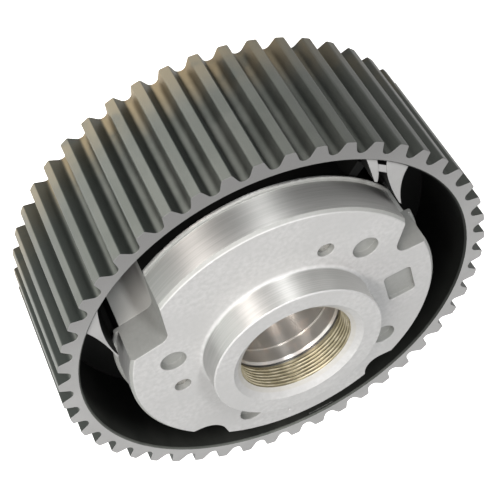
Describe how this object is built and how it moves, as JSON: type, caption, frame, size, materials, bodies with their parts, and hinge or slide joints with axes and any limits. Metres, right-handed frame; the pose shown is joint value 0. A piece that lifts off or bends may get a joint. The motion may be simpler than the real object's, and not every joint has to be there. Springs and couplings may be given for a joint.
{
  "type": "cam phaser",
  "caption": "Toothed belt pulley for a camshaft whose housing holds an oil-driven vane rotor, with a turned front cover and a threaded central hub.",
  "frame": {"origin": "on the axis, in the plane of the toothed ring's rear face", "axes": "+Z along the shaft towards the threaded hub; +X and +Y across it, +X towards the bare pocket in the front cover"},
  "size_m": [0.1208, 0.1208, 0.0535],
  "materials": {
    "sintered_steel": "steam-treated sintered steel, dark grey with a brown tint at the edges",
    "turned_aluminium": "turned aluminium casting with a matte front face",
    "cover_steel": "ground steel",
    "seal_rubber": "matte black rubber",
    "rotor_steel": "machined steel",
    "hardened_steel": "ground hardened steel",
    "spring_steel": "spring steel",
    "bolt_steel": "blackened steel",
    "seal_plastic": "filled sealing plastic"
  },
  "bodies": {
    "stator": {"stator_pulley": "sintered_steel", "front_cover": "turned_aluminium", "rear_cover": "cover_steel", "rear_o_ring": "seal_rubber", "cover_bolts": "bolt_steel", "locating_dowels": "hardened_steel", "lobe_seal_1": "seal_plastic", "lobe_seal_spring_1": "spring_steel", "lobe_seal_2": "seal_plastic", "lobe_seal_spring_2": "spring_steel", "lobe_seal_3": "seal_plastic", "lobe_seal_spring_3": "spring_steel", "lobe_seal_4": "seal_plastic", "lobe_seal_spring_4": "spring_steel"},
    "rotor": {"rotor": "rotor_steel", "locking_pin_spring": "spring_steel", "locking_pin_cap": "cover_steel", "vane_seal_1": "seal_plastic", "vane_seal_spring_1": "spring_steel", "vane_seal_2": "seal_plastic", "vane_seal_spring_2": "spring_steel", "vane_seal_3": "seal_plastic", "vane_seal_spring_3": "spring_steel", "vane_seal_4": "seal_plastic", "vane_seal_spring_4": "spring_steel"},
    "locking_pin": {"locking_pin": "hardened_steel"}
  },
  "joints": [
    {"name": "rotor_turn", "type": "hinge", "parent": "stator", "child": "rotor", "pos_m": [0, 0, 0.0248], "axis": [0, 0, 1], "range_deg": [0, 20]},
    {"name": "pin_slide", "type": "slide", "parent": "rotor", "child": "locking_pin", "axis": [0, 0, 1], "range_m": [0, 0.003], "stiffness_N_per_m": 400, "springref_m": -0.005, "deforming": ["locking_pin_spring"]}
  ],
  "couplings": [
    {"joint": "pin_slide", "follows": "rotor_turn", "m_per_rad": 0.00859}
  ]
}
